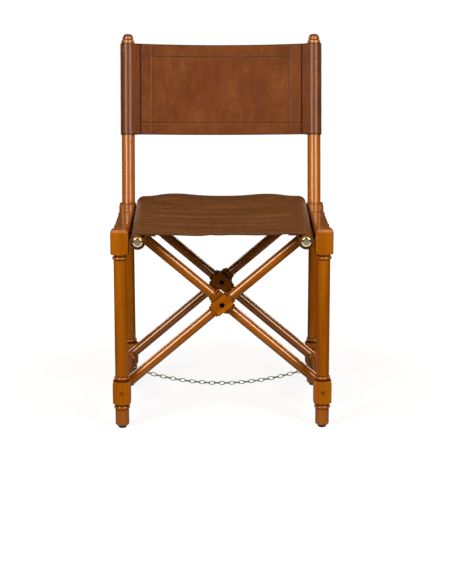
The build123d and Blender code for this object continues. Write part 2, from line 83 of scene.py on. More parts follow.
HINGE_Z = FOLD["pos_m"][2]

# real sizes that the frame doesn't give, in metres
RAKE = math.radians(10.4)
POST_DIR = Vector((0, math.sin(RAKE), math.cos(RAKE)))
BAR_SLOPE = math.atan2(PIVOT.z - HINGE_Z, LEG_X)
HIDE = 0.0025            # seat leather
BACK_HIDE = 0.0022       # leather of the back sleeves
SLEEVE_R = 0.0178        # outside of the seat leather round a rod
BACK_SLEEVE_R = 0.0182   # outside of the back leather round a post
BACK_TAIL = 0.030        # reach of a back sleeve's doubled tail from the post's axis
# painted shade: the turned top of each post is coloured darker, as it looks when lit mostly from the front
FINIAL_TOP = 0.009       # part of a post's turned top that is darker
TOP_SHADE_FADE = 0.003     # height over which it grows darker


# materials

def new_material(name):
    mat = bpy.data.materials.new(name)
    mat.use_nodes = True
    nodes = mat.node_tree.nodes
    nodes.clear()
    out = nodes.new("ShaderNodeOutputMaterial")
    shader = nodes.new("ShaderNodeBsdfPrincipled")
    mat.node_tree.links.new(shader.outputs["BSDF"], out.inputs["Surface"])
    return mat, shader


class Graph:
    """Short names for the nodes and links of one material or of the world."""

    def __init__(self, tree):
        self.nodes = tree.nodes
        self.links = tree.links

    def add(self, kind, **values):
        node = self.nodes.new(kind)
        for key, value in values.items():
            setattr(node, key, value)
        return node

    def link(self, source, target):
        self.links.new(source, target)

    def coords(self):
        return self.add("ShaderNodeTexCoord").outputs["Object"]

    def mapping(self, source, rotation=(0, 0, 0), scale=(1, 1, 1), location=(0, 0, 0)):
        node = self.add("ShaderNodeMapping")
        node.inputs["Rotation"].default_value = rotation
        node.inputs["Scale"].default_value = scale
        node.inputs["Location"].default_value = location
        self.link(source, node.inputs["Vector"])
        return node.outputs["Vector"]

    def noise(self, source, scale, detail=4.0, rough=0.55, distortion=0.0):
        node = self.add("ShaderNodeTexNoise")
        node.inputs["Scale"].default_value = scale
        node.inputs["Detail"].default_value = detail
        node.inputs["Roughness"].default_value = rough
        node.inputs["Distortion"].default_value = distortion
        self.link(source, node.inputs["Vector"])
        return node.outputs["Fac"]

    def voronoi(self, source, scale, feature):
        node = self.add("ShaderNodeTexVoronoi", feature=feature)
        node.inputs["Scale"].default_value = scale
        self.link(source, node.inputs["Vector"])
        return node.outputs["Distance"]

    def ramp(self, source, stops):
        node = self.add("ShaderNodeValToRGB")
        elements = node.color_ramp.elements
        while len(elements) < len(stops):
            elements.new(0.5)
        for element, (place, colour) in zip(elements, stops):
            element.position = place
            element.color = (*colour, 1.0)
        self.link(source, node.inputs["Fac"])
        return node.outputs["Color"]

    def spread(self, source, low, high, to_low=0.0, to_high=1.0, kind="LINEAR"):
        node = self.add("ShaderNodeMapRange", interpolation_type=kind)
        for key, value in (("From Min", low), ("From Max", high), ("To Min", to_low), ("To Max", to_high)):
            node.inputs[key].default_value = value
        self.link(source, node.inputs["Value"])
        return node.outputs["Result"]

    def math(self, operation, first, second):
        node = self.add("ShaderNodeMath", operation=operation)
        for socket, value in zip(node.inputs, (first, second)):
            if isinstance(value, (int, float)):
                socket.default_value = value
            else:
                self.link(value, socket)
        return node.outputs["Value"]

    def blend(self, factor, first, second):
        node = self.add("ShaderNodeMix", data_type="RGBA")
        sockets = {"Factor": node.inputs[0], "A": node.inputs[6], "B": node.inputs[7]}
        for key, value in (("Factor", factor), ("A", first), ("B", second)):
            if isinstance(value, (int, float)):
                sockets[key].default_value = value
            elif isinstance(value, tuple):
                sockets[key].default_value = (*value, 1.0)
            else:
                self.link(value, sockets[key])
        return node.outputs[2]

    def bump(self, height, distance, strength=1.0, below=None):
        node = self.add("ShaderNodeBump")
        node.inputs["Distance"].default_value = distance
        node.inputs["Strength"].default_value = strength
        self.link(height, node.inputs["Height"])
        if below is not None:
            self.link(below, node.inputs["Normal"])
        return node.outputs["Normal"]

    def crevice(self, distance):
        node = self.add("ShaderNodeAmbientOcclusion", samples=8)
        node.inputs["Distance"].default_value = distance
        return node.outputs["AO"]


def rotation_to_z(direction):
    return tuple(Vector(direction).rotation_difference(Vector((0, 0, 1))).to_euler())


def lacquered_wood(name, grain, dark, mid, light, shift, groove_reach, gloss, dark_above):
    """Stained, lacquered wood with its grain along one direction, darkened in grooves and between parts by
    staining and painted shade.
    """
    mat, shader = new_material(name)
    g = Graph(mat.node_tree)
    turned = g.mapping(g.coords(), rotation=rotation_to_z(grain), location=(shift, shift * 0.7, 0))
    figure = g.noise(g.mapping(turned, scale=(26, 26, 2.2)), 1.0, 3.0, 0.5, 0.6)
    streaks = g.noise(g.mapping(turned, scale=(150, 150, 6)), 1.0, 5.0, 0.6, 0.3)
    pores = g.noise(g.mapping(turned, scale=(900, 900, 30)), 1.0, 2.0, 0.5)
    mixed = g.math("ADD", g.math("MULTIPLY", figure, 0.62), g.math("MULTIPLY", streaks, 0.38))
    colour = g.ramp(mixed, ((0.30, dark), (0.48, mid), (0.66, light)))
    pore = g.spread(pores, 0.30, 0.42)
    colour = g.blend(pore, g.blend(0.35, colour, dark), colour)
    # painted shade: above dark_above the colour darkens towards the post's top
    if dark_above:
        height = g.add("ShaderNodeSeparateXYZ")
        g.link(g.coords(), height.inputs["Vector"])
        top_shade = g.spread(height.outputs["Z"], dark_above, dark_above + TOP_SHADE_FADE, 0.0, 0.7)
        colour = g.blend(top_shade, colour, tuple(c * 0.30 for c in dark))
    # painted shade together with staining: colour darkened where ambient occlusion finds grooves, beads and
    # joints between parts
    crevice = g.crevice(groove_reach)
    stain_and_shade = g.spread(crevice, 0.42, 0.90)
    colour = g.blend(stain_and_shade, tuple(c * 0.10 for c in dark), colour)
    g.link(colour, shader.inputs["Base Color"])
    g.link(g.spread(streaks, 0.3, 0.7, 0.30, 0.40), shader.inputs["Roughness"])
    g.link(g.bump(streaks, 0.00012, 0.35), shader.inputs["Normal"])
    g.link(g.spread(crevice, 0.45, 0.85, 0.0, 0.8), shader.inputs["Coat Weight"])
    shader.inputs["Specular IOR Level"].default_value = 0.08
    shader.inputs["Coat Roughness"].default_value = gloss
    shader.inputs["Coat IOR"].default_value = 1.9
    return mat


def leather(name, dark, mid, light, stretch=(1, 1, 1), roughness=(0.34, 0.50), coat=0.25):
    """Waxed leather: cloudy colour, fine pebble grain and shallow creases."""
    mat, shader = new_material(name)
    g = Graph(mat.node_tree)
    place = g.coords()
    clouds = g.noise(g.mapping(place, scale=stretch), 16, 5.0, 0.6, 0.4)
    streaks = g.noise(g.mapping(place, scale=(60, 60, 18)), 1.0, 5.0, 0.65, 0.8)
    mixed = g.math("ADD", g.math("MULTIPLY", clouds, 0.5), g.math("MULTIPLY", streaks, 0.5))
    colour = g.ramp(mixed, ((0.34, dark), (0.5, mid), (0.66, light)))
    mottle = g.noise(place, 190, 3.0, 0.7)
    colour = g.blend(g.spread(mottle, 0.36, 0.62, 0.55, 0.0), colour, dark)
    pebble = g.voronoi(place, 780, "F1")
    fine = g.noise(place, 420, 4.0, 0.6)
    crease = g.voronoi(g.mapping(place, scale=(1, 1, 1.3)), 170, "DISTANCE_TO_EDGE")
    crease_dip = g.spread(crease, 0.0, 0.06)
    colour = g.blend(g.spread(pebble, 0.15, 0.75, 0.0, 0.40), colour, dark)
    # painted shade: colour darkened where ambient occlusion finds creases and leather hemmed in by other
    # parts
    stain_and_shade = g.spread(g.crevice(0.006), 0.20, 0.75)
    colour = g.blend(stain_and_shade, tuple(c * 0.22 for c in dark), colour)
    g.link(colour, shader.inputs["Base Color"])
    g.link(g.spread(clouds, 0.3, 0.7, roughness[0], roughness[1]), shader.inputs["Roughness"])
    normal = g.bump(crease_dip, 0.00010, 0.5)
    normal = g.bump(pebble, 0.00016, 0.6, normal)
    normal = g.bump(fine, 0.00010, 0.5, normal)
    g.link(normal, shader.inputs["Normal"])
    shader.inputs["Specular IOR Level"].default_value = 0.25
    shader.inputs["Coat Weight"].default_value = coat
    shader.inputs["Coat Roughness"].default_value = 0.28
    return mat


def leather_edge(name, colour):
    """Burnished cut edge of the leather."""
    mat, shader = new_material(name)
    g = Graph(mat.node_tree)
    fibres = g.noise(g.mapping(g.coords(), scale=(400, 400, 400)), 1.0, 3.0)
    dark = tuple(c * 0.6 for c in colour)
    g.link(g.ramp(fibres, ((0.3, dark), (0.7, colour))), shader.inputs["Base Color"])
    g.link(g.bump(fibres, 0.0001, 0.5), shader.inputs["Normal"])
    shader.inputs["Roughness"].default_value = 0.45
    return mat


def thread(name, colour):
    mat, shader = new_material(name)
    g = Graph(mat.node_tree)
    twist = g.noise(g.mapping(g.coords(), scale=(1500, 1500, 1500)), 1.0, 2.0)
    dark = tuple(c * 0.55 for c in colour)
    g.link(g.ramp(twist, ((0.3, dark), (0.7, colour))), shader.inputs["Base Color"])
    g.link(g.bump(twist, 0.0001, 0.6), shader.inputs["Normal"])
    shader.inputs["Roughness"].default_value = 0.6
    return mat


def metal(name, dark, light, roughness, scale=60.0, metallic=1.0):
    mat, shader = new_material(name)
    g = Graph(mat.node_tree)
    place = g.coords()
    tarnish = g.noise(place, scale, 4.0, 0.6)
    colour = g.ramp(tarnish, ((0.35, dark), (0.65, light)))
    # tarnish in the hollows together with painted shade: colour darkened where ambient occlusion finds
    # hollows
    stain_and_shade = g.spread(g.crevice(0.003), 0.15, 0.7)
    colour = g.blend(stain_and_shade, tuple(c * 0.25 for c in dark), colour)
    g.link(colour, shader.inputs["Base Color"])
    g.link(g.spread(tarnish, 0.3, 0.7, roughness[0], roughness[1]), shader.inputs["Roughness"])
    g.link(g.bump(g.noise(place, 900, 2.0), 0.00003, 0.3), shader.inputs["Normal"])
    shader.inputs["Metallic"].default_value = metallic
    return mat


def plain_dark(name, colour, roughness):
    mat, shader = new_material(name)
    g = Graph(mat.node_tree)
    speck = g.noise(g.coords(), 500, 3.0)
    dark = tuple(c * 0.6 for c in colour)
    g.link(g.ramp(speck, ((0.35, dark), (0.65, colour))), shader.inputs["Base Color"])
    g.link(g.bump(speck, 0.0001, 0.4), shader.inputs["Normal"])
    shader.inputs["Roughness"].default_value = roughness
    return mat


WOOD_DARK = (0.260, 0.062, 0.0010)
WOOD_MID = (0.400, 0.108, 0.0015)
WOOD_LIGHT = (0.520, 0.160, 0.0030)


def wood(name, grain, shift, tone=1.0, groove_reach=0.007, gloss=0.06, dark_above=None):
    tones = [tuple(c * tone for c in colour) for colour in (WOOD_DARK, WOOD_MID, WOOD_LIGHT)]
    return lacquered_wood(name, grain, *tones, shift, groove_reach, gloss, dark_above)


bar_up_right = (math.cos(BAR_SLOPE), 0, math.sin(BAR_SLOPE))
bar_up_left = (-math.cos(BAR_SLOPE), 0, math.sin(BAR_SLOPE))
rod_way = (0, math.cos(ROD_RISE), math.sin(ROD_RISE))

# direction of the grain, and what differs from the plain wood, by the start of a node's name
GRAIN = {
    "front_leg": (0, 0, 1), "back_leg": (0, 0, 1), "side_rail": (0, 1, 0), "back_post": tuple(POST_DIR),
    "stretcher": (0, 1, 0), "spacer": (0, 1, 0), "plug": (0, 1, 0), "seat_rod": rod_way,
    "bar_a": bar_up_right, "bar_b": bar_up_left,
}
WOOD_LOOKS = {
    # the rear bars' tone of 0.75 is painted shade, from the seat shading them
    "plug": {"tone": 0.62}, "bar_a_back": {"tone": 0.75}, "bar_b_back": {"tone": 0.75},
    "side_rail": {"groove_reach": 0.0025},
    # the posts' tone of 1.2 is painted light, where the lamps light them strongly
    "back_post": {"tone": 1.2, "gloss": 0.26, "dark_above": TOP - FINIAL_TOP},
}
GRAIN_STEP = 0.37

brass_dome = metal("polished_brass", (0.74, 0.60, 0.33), (0.95, 0.84, 0.56), (0.0, 0.0), 40, 0.96)
brass_old = metal("aged_brass", (0.20, 0.15, 0.05), (0.50, 0.39, 0.17), (0.22, 0.38), 220)
steel = metal("dark_steel", (0.020, 0.015, 0.011), (0.070, 0.055, 0.042), (0.25, 0.40))
glide_mat = plain_dark("dark_glide", (0.055, 0.028, 0.014), 0.55)
seat_leather = leather("seat_leather", (0.130, 0.047, 0.014), (0.222, 0.084, 0.025), (0.305, 0.124, 0.041),
                       stretch=(0.35, 1.6, 1.0), roughness=(0.38, 0.50), coat=0.14)
back_leather = leather("back_leather", (0.122, 0.028, 0.002), (0.208, 0.052, 0.004), (0.302, 0.086, 0.009),
                       stretch=(1.0, 1.0, 0.8), roughness=(0.34, 0.46), coat=0.14)
sleeve_leather = leather("sleeve_leather",
                         (0.140, 0.032, 0.002), (0.205, 0.048, 0.003), (0.280, 0.074, 0.006),
                         stretch=(1.0, 1.0, 0.6), roughness=(0.36, 0.44), coat=0.65)
# painted shade: dark leather for the groove beside each hem
seam_groove_shade = leather("seam_groove_shade", (0.050, 0.013, 0.002), (0.075, 0.019, 0.003), (0.105, 0.028, 0.005),
                       roughness=(0.45, 0.60), coat=0.05)
# pale leather: a painted highlight on each hem's edge, and a paler band at the end of each sleeve's tail
pale_edge_and_highlight_leather = leather("pale_edge_and_highlight_leather", (0.240, 0.082, 0.022), (0.330, 0.125, 0.042), (0.400, 0.170, 0.065),
                       roughness=(0.34, 0.46), coat=0.20)
edge_dark = leather_edge("burnished_edge", (0.040, 0.013, 0.004))
edge_light = leather_edge("cut_edge", (0.10, 0.042, 0.016))
thread_brown = thread("brown_thread", (0.20, 0.085, 0.028))

# materials of what isn't wood, by the start of a node's name
OTHER_LOOKS = {
    "cap_": brass_dome, "chain": brass_old, "pivot_": steel, "rod_screw": steel, "glide": glide_mat,
}


def paint(obj, *mats):
    obj.data.materials.clear()
    for mat in mats:
        obj.data.materials.append(mat)


def smooth(obj, angle):
    """Smooth shading, with faces that meet at more than the angle kept sharp."""
    obj.data.polygons.foreach_set("use_smooth", [True] * len(obj.data.polygons))
    obj.data.set_sharp_from_angle(angle=math.radians(angle))


def by_start(table, node_name, default=None):
    """The table's value for the first key that the node's name starts with."""
    for key, value in table.items():
        if node_name.startswith(key):
            return value
    return default


number = 0
for node_name in sorted(NODES):
    grain = by_start(GRAIN, node_name)
    if grain:
        number += 1
        look = by_start(WOOD_LOOKS, node_name, {})
        paint(NODES[node_name], wood("wood_" + node_name, grain, GRAIN_STEP * number, **look))
    elif by_start(OTHER_LOOKS, node_name):
        paint(NODES[node_name], by_start(OTHER_LOOKS, node_name))


# mesh building

def make_object(name, verts, faces, mats, face_mats=None):
    mesh = bpy.data.meshes.new(name)
    mesh.from_pydata([tuple(v) for v in verts], [], faces)
    mesh.update()
    for mat in mats:
        mesh.materials.append(mat)
    if face_mats:
        mesh.polygons.foreach_set("material_index", face_mats)
    obj = bpy.data.objects.new(name, mesh)
    bpy.context.scene.collection.objects.link(obj)
    return obj


def apply_modifiers(obj):
    graph = bpy.context.evaluated_depsgraph_get()
    mesh = bpy.data.meshes.new_from_object(obj.evaluated_get(graph))
    obj.modifiers.clear()
    obj.data = mesh


def closed_shell(name, top, under, mats, turned=False, material_at=None):
    """Closed mesh between two grids of points, its rim in the second material; turned flips its faces."""
    count_u = len(top)
    count_v = len(top[0])
    half = count_u * count_v
    verts = [point for grid in (top, under) for row in grid for point in row]
    faces = []
    face_mats = []
    for i in range(count_u - 1):
        for j in range(count_v - 1):
            a = i * count_v + j
            b, c, d = a + 1, a + count_v + 1, a + count_v
            if turned:
                b, d = d, b
            faces.append((a, b, c, d))
            face_mats.append(material_at(i, j) if material_at else 0)
            faces.append((a + half, d + half, c + half, b + half))
            face_mats.append(0)
    rim = list(range(count_v))
    rim += [i * count_v + count_v - 1 for i in range(1, count_u)]
    rim += [(count_u - 1) * count_v + j for j in range(count_v - 2, -1, -1)]
    rim += [i * count_v for i in range(count_u - 2, 0, -1)]
    if turned:
        rim.reverse()
    for k, a in enumerate(rim):
        b = rim[(k + 1) % len(rim)]
        faces.append((a, a + half, b + half, b))
        face_mats.append(1)
    return make_object(name, verts, faces, mats, face_mats)


def thick_sheet(name, rows, normals, thickness, mats):
    """Closed sheet of even thickness round a grid of middle points."""
    skins = []
    for sign in (0.5, -0.5):
        skins.append([[point + normal * (thickness * sign) for point, normal in zip(row, line)]
                      for row, line in zip(rows, normals)])
    return closed_shell(name, *skins, mats)


def bump_curve(x, centre, width):
    return math.exp(-((x - centre) / width) ** 2)


def ease(t):
    t = min(max(t, 0.0), 1.0)
    return t * t * (3 - 2 * t)


# seat sling: one length of leather over both rods

SEAT_R = SLEEVE_R - HIDE / 2
FLAP = 0.024             # leather turned back under each side
FLAP_GAP = 0.0003        # between the flap and the leather above it
FLAP_TUCK = 0.001        # how much shorter it is than that
FLAP_CORNER = 0.0035     # radius where the flap turns up to the rod
SAG_FRONT, SAG_BACK = 0.0026, 0.0004                       # how far the middle hangs
HUMP_X, HUMP_WIDTH, HUMP_RISE = 0.110, 0.055, 0.0060       # swelling on either side, towards the back
MIDDLE_WIDTH, MIDDLE_RISE = 0.06, 0.0006                   # and between them
HUMP_START, HUMP_REACH = 0.55, 0.45                        # the share of the depth over which they grow
ROD_FADE, LIFT_FADE = 0.05, 0.03                           # widths over which forms end at the rods
EDGE_DEPTH = 0.10                                          # share of the depth that waves at the edge take
FRONT_LIFT = 0.0010
LONG_WAVE = 0.0009
EDGE_WAVE, EDGE_KINK, KINK_X, KINK_WIDTH = 0.0008, 0.0016, -0.026, 0.012    # along the front edge
SEAT_COLUMNS, SEAT_STATIONS = 96, 72                       # steps of the mesh across and front to back
seat_span = SEAT_BACK - SEAT_FRONT

# each shallow wave across the seat: place and width as shares of the depth, size in metres, bow, lean
WRINKLES = (
    (0.09, 0.016, 0.0014, 0.020, 0.010),
    (0.21, 0.012, 0.0034, 0.045, 0.008),
    (0.32, 0.012, 0.0018, 0.050, -0.010),
    (0.44, 0.012, 0.0038, 0.050, 0.012),
    (0.56, 0.014, 0.0022, 0.045, -0.008),
    (0.68, 0.012, 0.0034, 0.040, 0.008),
    (0.83, 0.016, 0.0018, 0.030, 0.004),
)


def seat_path():
    """Middle line of the leather across the chair, from the right flap over the right rod."""
    path = []
    under = SEAT_R - HIDE - FLAP_GAP
    for k in range(8):
        path.append((ROD_X - SEAT_R - FLAP + FLAP * k / 8 + FLAP_TUCK, under))
    for k in range(1, 5):
        a = math.pi / 2 - math.pi / 2 * k / 4
        path.append((ROD_X - SEAT_R - FLAP_CORNER + FLAP_CORNER * math.cos(a),
                     under - FLAP_CORNER + FLAP_CORNER * math.sin(a)))
    for k in range(1, 4):
        path.append((ROD_X - SEAT_R, (under - FLAP_CORNER) * (1 - k / 4)))
    for k in range(0, 29):
        a = math.pi + 1.5 * math.pi * k / 28
        path.append((ROD_X + SEAT_R * math.cos(a), SEAT_R * math.sin(a)))
    return path


def seat_shape(x, depth):
    """Height of the seat over the line between the tops of the rods; depth runs from 0 in front to 1."""
    across = max(0.0, 1 - (abs(x) / ROD_X) ** 2)
    sag = SAG_FRONT * (1 - depth) + SAG_BACK * depth
    height = -sag * across
    inner = ease((ROD_X - abs(x)) / ROD_FADE)
    hump = bump_curve(abs(x), HUMP_X, HUMP_WIDTH) * HUMP_RISE
    hump += bump_curve(x, 0.0, MIDDLE_WIDTH) * MIDDLE_RISE
    height += hump * ease((depth - HUMP_START) / HUMP_REACH) * inner
    for middle, width, size, bow, lean in WRINKLES:
        place = middle + bow * (x / ROD_X) ** 2 + lean * x / ROD_X
        uneven = 1 - 0.35 * math.cos(x * 31 + middle * 40)
        height -= size * bump_curve(depth, place, width) * inner * uneven
    height += FRONT_LIFT * (1 - depth) * ease((ROD_X - abs(x)) / LIFT_FADE)
    height += LONG_WAVE * math.sin(depth * 9.5 + x * 6) * inner
    wave = EDGE_WAVE * math.sin(x * 44 + 0.6) + EDGE_KINK * bump_curve(x, KINK_X, KINK_WIDTH)
    height += wave * ease((EDGE_DEPTH - depth) / EDGE_DEPTH) * inner
    return height


def make_seat():
    half = seat_path()
    middle = [(ROD_X * (1 - 2 * k / SEAT_COLUMNS), SEAT_R) for k in range(1, SEAT_COLUMNS)]
    line = half + middle + [(-x, h) for x, h in reversed(half)]
    rows = []
    for x, h in line:
        row = []
        on_panel = h > SEAT_R - 1e-6 and abs(x) < ROD_X
        for k in range(SEAT_STATIONS + 1):
            depth = k / SEAT_STATIONS
            y = SEAT_FRONT + seat_span * depth
            lift = seat_shape(x, depth) if on_panel or abs(x) < ROD_X - SEAT_R - 0.0005 else 0.0
            base = ROD_FRONT_Z + (y - SEAT_FRONT) * math.tan(ROD_RISE)
            row.append(Vector((x, y, base + (h + lift) / math.cos(ROD_RISE))))
        rows.append(row)
    normals = sheet_normals(rows)
    return thick_sheet("seat_sling", rows, normals, HIDE, [seat_leather, edge_light]), grid_size(rows)


def grid_size(rows):
    """Flat width and length of the leather that a grid of points lies on."""
    middle = len(rows[0]) // 2
    width = sum((b[middle] - a[middle]).length for a, b in zip(rows, rows[1:]))
    line = rows[len(rows) // 2]
    return width, sum((b - a).length for a, b in zip(line, line[1:]))


def sheet_normals(rows):
    """Unit normals of a grid of points, from its neighbours along both ways."""
    count_u = len(rows)
    count_v = len(rows[0])
    result = []
    for i in range(count_u):
        line = []
        for j in range(count_v):
            along = rows[min(i + 1, count_u - 1)][j] - rows[max(i - 1, 0)][j]
            across = rows[i][min(j + 1, count_v - 1)] - rows[i][max(j - 1, 0)]
            line.append(along.cross(across).normalized())
        result.append(line)
    return result


HOLE_R = 0.0130          # the bar and its clearance
HOLE_START = 0.06        # well below the leather, along the bar from the crossing
REAR_REACH = 0.016       # how much further the rear holes run past the rod's axis
HOLE_SIDES = 40


def cutter(name, start, end, radius):
    """Closed round bar between two points, used to cut holes."""
    way = (end - start).normalized()
    side = way.cross(Vector((0, 1, 0))).normalized()
    up = way.cross(side)
    count = HOLE_SIDES
    verts = []
    for base in (start, end):
        for k in range(count):
            a = 2 * math.pi * k / count
            verts.append(base + side * (radius * math.cos(a)) + up * (radius * math.sin(a)))
    faces = [tuple(reversed(range(count))), tuple(range(count, 2 * count))]
    for k in range(count):
        n = (k + 1) % count
        faces.append((k, n, n + count, k + count))
    return make_object(name, verts, faces, [edge_dark])


def cut_holes(obj):
    """Holes where the bars pass through the leather to the rods."""
    tools = []
    for node_name, way in (("bar_a_front", bar_up_right), ("bar_a_back", bar_up_right),
                           ("bar_b_front", bar_up_left), ("bar_b_back", bar_up_left)):
        low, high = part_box(node_name)
        y = (low.y + high.y) / 2
        start = Vector((0, y, PIVOT.z)) + Vector(way) * HOLE_START
        reach = ROD_X / math.cos(BAR_SLOPE) + (0.0 if node_name.endswith("front") else REAR_REACH)
        end = Vector((0, y, PIVOT.z)) + Vector(way) * reach
        tool = cutter("cut_" + node_name, start, end, HOLE_R)
        tools.append(tool)
        boolean = obj.modifiers.new("hole", "BOOLEAN")
        boolean.operation = "DIFFERENCE"
        boolean.solver = "EXACT"
        boolean.object = tool
        boolean.material_mode = "TRANSFER"
    apply_modifiers(obj)
    for tool in tools:
        bpy.data.objects.remove(tool)


# stitches

THREAD_R = 0.00042
STITCH_LENGTH = 0.0034
STITCH_GAP = 0.0011
LOOK_AHEAD = 0.0005      # along the row, to find which way it runs
STITCH_SIDES = 6
STITCH_PROFILE = ((0.0, 0.25), (0.12, 0.8), (0.5, 1.0), (0.88, 0.8), (1.0, 0.25))    # (place, thickness)


def stitch_row(points, normals):
    """Vertices and faces of a row of small thread stitches along a line on the leather."""
    verts = []
    faces = []
    total = 0.0
    lengths = [0.0]
    for a, b in zip(points, points[1:]):
        total += (b - a).length
        lengths.append(total)

    def at(s):
        k = 0
        while k < len(points) - 2 and s > lengths[k + 1]:
            k += 1
        t = (s - lengths[k]) / max(lengths[k + 1] - lengths[k], 1e-9)
        return points[k].lerp(points[k + 1], t), normals[k].lerp(normals[k + 1], t).normalized()

    step = STITCH_LENGTH + STITCH_GAP
    count = int(total / step)
    around = STITCH_SIDES
    rings = len(STITCH_PROFILE)
    for n in range(count):
        start = (total - count * step) / 2 + n * step
        base = len(verts)
        for t, size in STITCH_PROFILE:
            p, normal = at(start + t * STITCH_LENGTH)
            q = at(start + t * STITCH_LENGTH + LOOK_AHEAD)[0]
            way = (q - p).normalized()
            side = way.cross(normal).normalized()
            rise = normal * (THREAD_R * 0.35 * math.sin(math.pi * t))
            for k in range(around):
                a = 2 * math.pi * k / around
                verts.append(p + rise + (side * math.cos(a) + normal * math.sin(a)) * (THREAD_R * size))
        for r in range(rings - 1):
            for k in range(around):
                a = base + r * around + k
                b = base + r * around + (k + 1) % around
                faces.append((a, b, b + around, a + around))
        faces.append(tuple(base + k for k in reversed(range(around))))
        faces.append(tuple(base + (rings - 1) * around + k for k in range(around)))
    return verts, faces


def stitches(name, lines):
    verts = []
    faces = []
    for points, normals in lines:
        row_verts, row_faces = stitch_row(points, normals)
        offset = len(verts)
        verts += row_verts
        faces += [tuple(i + offset for i in face) for face in row_faces]
    obj = make_object(name, verts, faces, [thread_brown])
    smooth(obj, 60)
    return obj


# back sling

back_height = (BACK_HIGH - BACK_LOW) / math.cos(RAKE)
BACK_BASE = Vector((0, BACK_LEG_Y + (BACK_LOW - RAIL_TOP) * math.tan(RAKE), BACK_LOW))
BACK_OUT = Vector((0, -math.cos(RAKE), math.sin(RAKE)))
PANEL_HALF = POST_X - BACK_TAIL
TUCK_REACH = 0.0205            # from the post's axis to the panel's end between the plies of the tail
TUCK_HALF = POST_X - TUCK_REACH
TUCK_THICK = 0.0004            # half of the panel's thickness there
PANEL_THICK = 0.0018           # half of its thickness elsewhere
BORDER = 0.0275                # width of the hems
HEM_RISE = 0.0013              # how much thicker they are in front
HEM_SLOPE = 0.0016             # width of the step at their inner edge, and of the taper into the tail
GROOVE_DEPTH, GROOVE_WIDTH = 0.0008, 0.0011
DIP = 0.0035                   # the top edge curves down by this at the middle
LOW_DIP = 0.0012               # and the bottom edge by this
BOW = 0.004                    # the panel curves back by this
SOFT = 0.0009                  # waves in it
SEAM_HALF = 0.0009             # half of the width of a seam
SEAM_STEPS = tuple(SEAM_HALF * k for k in range(-2, 5))
DARK_EDGE = 0.0022             # width of the burnished edges
PANEL_COLUMNS, PANEL_LEVELS = 60, 34


def back_point(x, up, out):
    return BACK_BASE + Vector((x, 0, 0)) + POST_DIR * up + BACK_OUT * out


def panel_drape(x, v):
    """How far the panel's middle lies out of its plane, at a share v of its height."""
    across = max(0.0, 1 - (x / PANEL_HALF) ** 2)
    wave = SOFT * math.sin(x * 23 + v * 4) * across * math.sin(math.pi * v)
    return -BOW * across * (0.4 + 0.6 * math.sin(math.pi * v)) + wave


def panel_ends(x):
    """Bottom and top of the panel at this distance from its middle."""
    across = max(0.0, 1 - (x / PANEL_HALF) ** 2)
    return -LOW_DIP * across, back_height - DIP * across


def panel_relief(x, up, height):
    """How far the front of the panel stands out of its plane: raised hems with a groove at each seam."""
    edge_x = PANEL_HALF - abs(x)
    edge_z = min(up, height - up)
    rise = 0.0
    for edge in (edge_x, edge_z):
        hem = ease((BORDER - edge) / HEM_SLOPE + 0.5) * (1 - 0.25 * ease((edge - BORDER * 0.35) / BORDER))
        rise = max(rise, HEM_RISE * hem)
        rise -= GROOVE_DEPTH * bump_curve(edge, BORDER + SEAM_HALF, GROOVE_WIDTH)
    return rise


def seam_material(edge_x, edge_z):
    """Which of the panel's materials shows at these distances from its side and from its top or bottom."""
    if edge_z < DARK_EDGE or edge_x < SEAM_HALF:
        return 1
    for edge in (edge_x, edge_z):
        # painted shade in the groove of each seam
        if 0 < edge - BORDER < 2 * SEAM_HALF:
            return 2
        # painted highlight along the edge of each hem
        if 0 < BORDER - edge < SEAM_HALF:
            return 3
    return 0


def make_back_panel():
    """Front and back skins of the panel with stitched hems, curved along its top edge."""
    columns = [-PANEL_HALF + 2 * PANEL_HALF * k / PANEL_COLUMNS for k in range(PANEL_COLUMNS + 1)]
    for sign in (-1, 1):
        for d in SEAM_STEPS:
            columns.append(sign * (PANEL_HALF - BORDER - d))
        for x in (PANEL_HALF - HEM_SLOPE, PANEL_HALF - HEM_SLOPE / 2,
                  (PANEL_HALF + TUCK_HALF) / 2, TUCK_HALF):
            columns.append(sign * x)
    columns = sorted(set(round(c, 6) for c in columns))
    levels = [k / PANEL_LEVELS for k in range(PANEL_LEVELS + 1)]
    for d in [BORDER + step for step in SEAM_STEPS] + [DARK_EDGE]:
        levels.append(d / back_height)
        levels.append(1 - d / back_height)
    levels = sorted(set(round(v, 6) for v in levels))
    front = []
    rear = []
    for x in columns:
        bottom, top = panel_ends(x)
        full = ease((PANEL_HALF - abs(x)) / HEM_SLOPE)
        thick = TUCK_THICK + (PANEL_THICK - TUCK_THICK) * full
        front_row = []
        rear_row = []
        for v in levels:
            up = bottom + (top - bottom) * v
            drape = panel_drape(x, v)
            relief = full * panel_relief(x, up - bottom, top - bottom)
            front_row.append(back_point(x, up, thick + relief + drape))
            rear_row.append(back_point(x, up, -thick + drape))
        front.append(front_row)
        rear.append(rear_row)

    def material_at(i, j):
        edge_x = PANEL_HALF - abs(columns[i] + columns[i + 1]) / 2
        middle = (levels[j] + levels[j + 1]) / 2
        return seam_material(edge_x, back_height * min(middle, 1 - middle))

    mats = [back_leather, edge_dark, seam_groove_shade, pale_edge_and_highlight_leather]
    return closed_shell("back_sling", front, rear, mats, True, material_at)


STITCH_INSET = 0.003           # from the ends of a row up the panel to the panel's edge
SIDE_INSET = 0.0035            # from the outer rows to the panel's side
ROW_INSET = 0.004              # from the ends of a row across the panel to the panel's side


